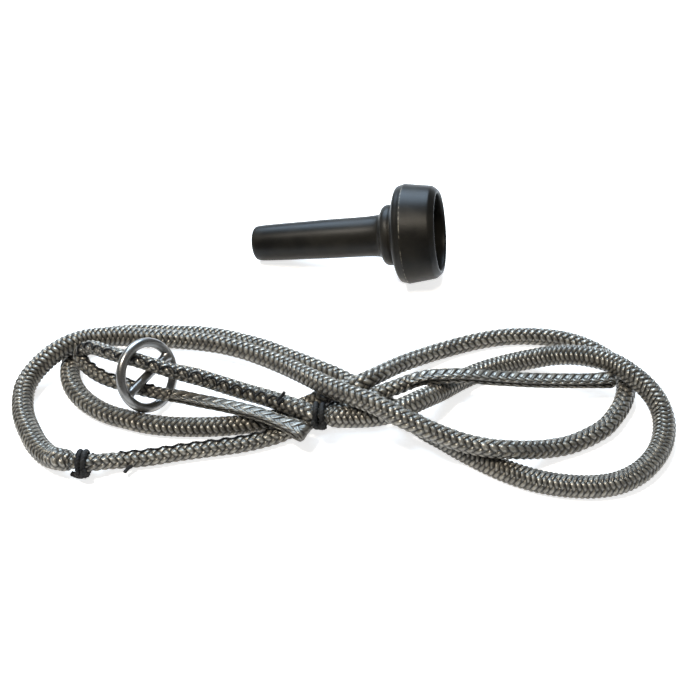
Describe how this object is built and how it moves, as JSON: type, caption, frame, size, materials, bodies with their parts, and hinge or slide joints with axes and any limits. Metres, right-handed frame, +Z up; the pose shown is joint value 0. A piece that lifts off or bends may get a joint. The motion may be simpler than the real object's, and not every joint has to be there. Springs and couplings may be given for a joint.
{
  "type": "elastic retrieval lanyard with slide ring and catch cone",
  "caption": "Braided elastic cord in a figure-eight hank, with sewn flat eyes, whippings and a barred slide ring, beside a hollow black rubber catch cone.",
  "frame": {"origin": "middle of the whole outline on the floor that the hank and the cone lie on", "axes": "+Z up from the floor, +X along the hank from the end with the slide ring to the end with the wide turn, +Y from the hank to the cone"},
  "size_m": [0.3394, 0.198, 0.0582],
  "materials": {
    "cord_braid": "silvery grey-beige braided sheath with a silky sheen",
    "tail_braid": "the same sheath drawn thin over its own end, coarser weave",
    "core_rubber": "matte, inside the sheath",
    "black_cord": "dull black lacing cord",
    "ring_steel": "satin grey steel",
    "cone_rubber": "smooth moulded black, soft shine"
  },
  "bodies": {
    "lanyard": {"elastic_cord_sheath": "cord_braid", "rubber_core": "core_rubber", "tail_1_sleeve": "tail_braid", "tail_1_buried_end": "tail_braid", "tail_1_eye": "tail_braid", "tail_2_sleeve": "tail_braid", "tail_2_buried_end": "tail_braid", "tail_2_eye": "tail_braid", "whipping_1": "black_cord", "whipping_2": "black_cord"},
    "ring": {"slide_ring": "ring_steel", "ring_crossbar": "ring_steel"},
    "cone": {"catch_cone": "cone_rubber"}
  },
  "joints": [
    {"name": "ring_slide", "type": "slide", "parent": "lanyard", "child": "ring", "axis": [-0.9668, 0.1904, 0.1703], "range_m": [0, 0.01]},
    {"name": "cone_lift", "type": "slide", "parent": "lanyard", "child": "cone", "axis": [0, 0, 1], "range_m": [0, 0.12]}
  ]
}
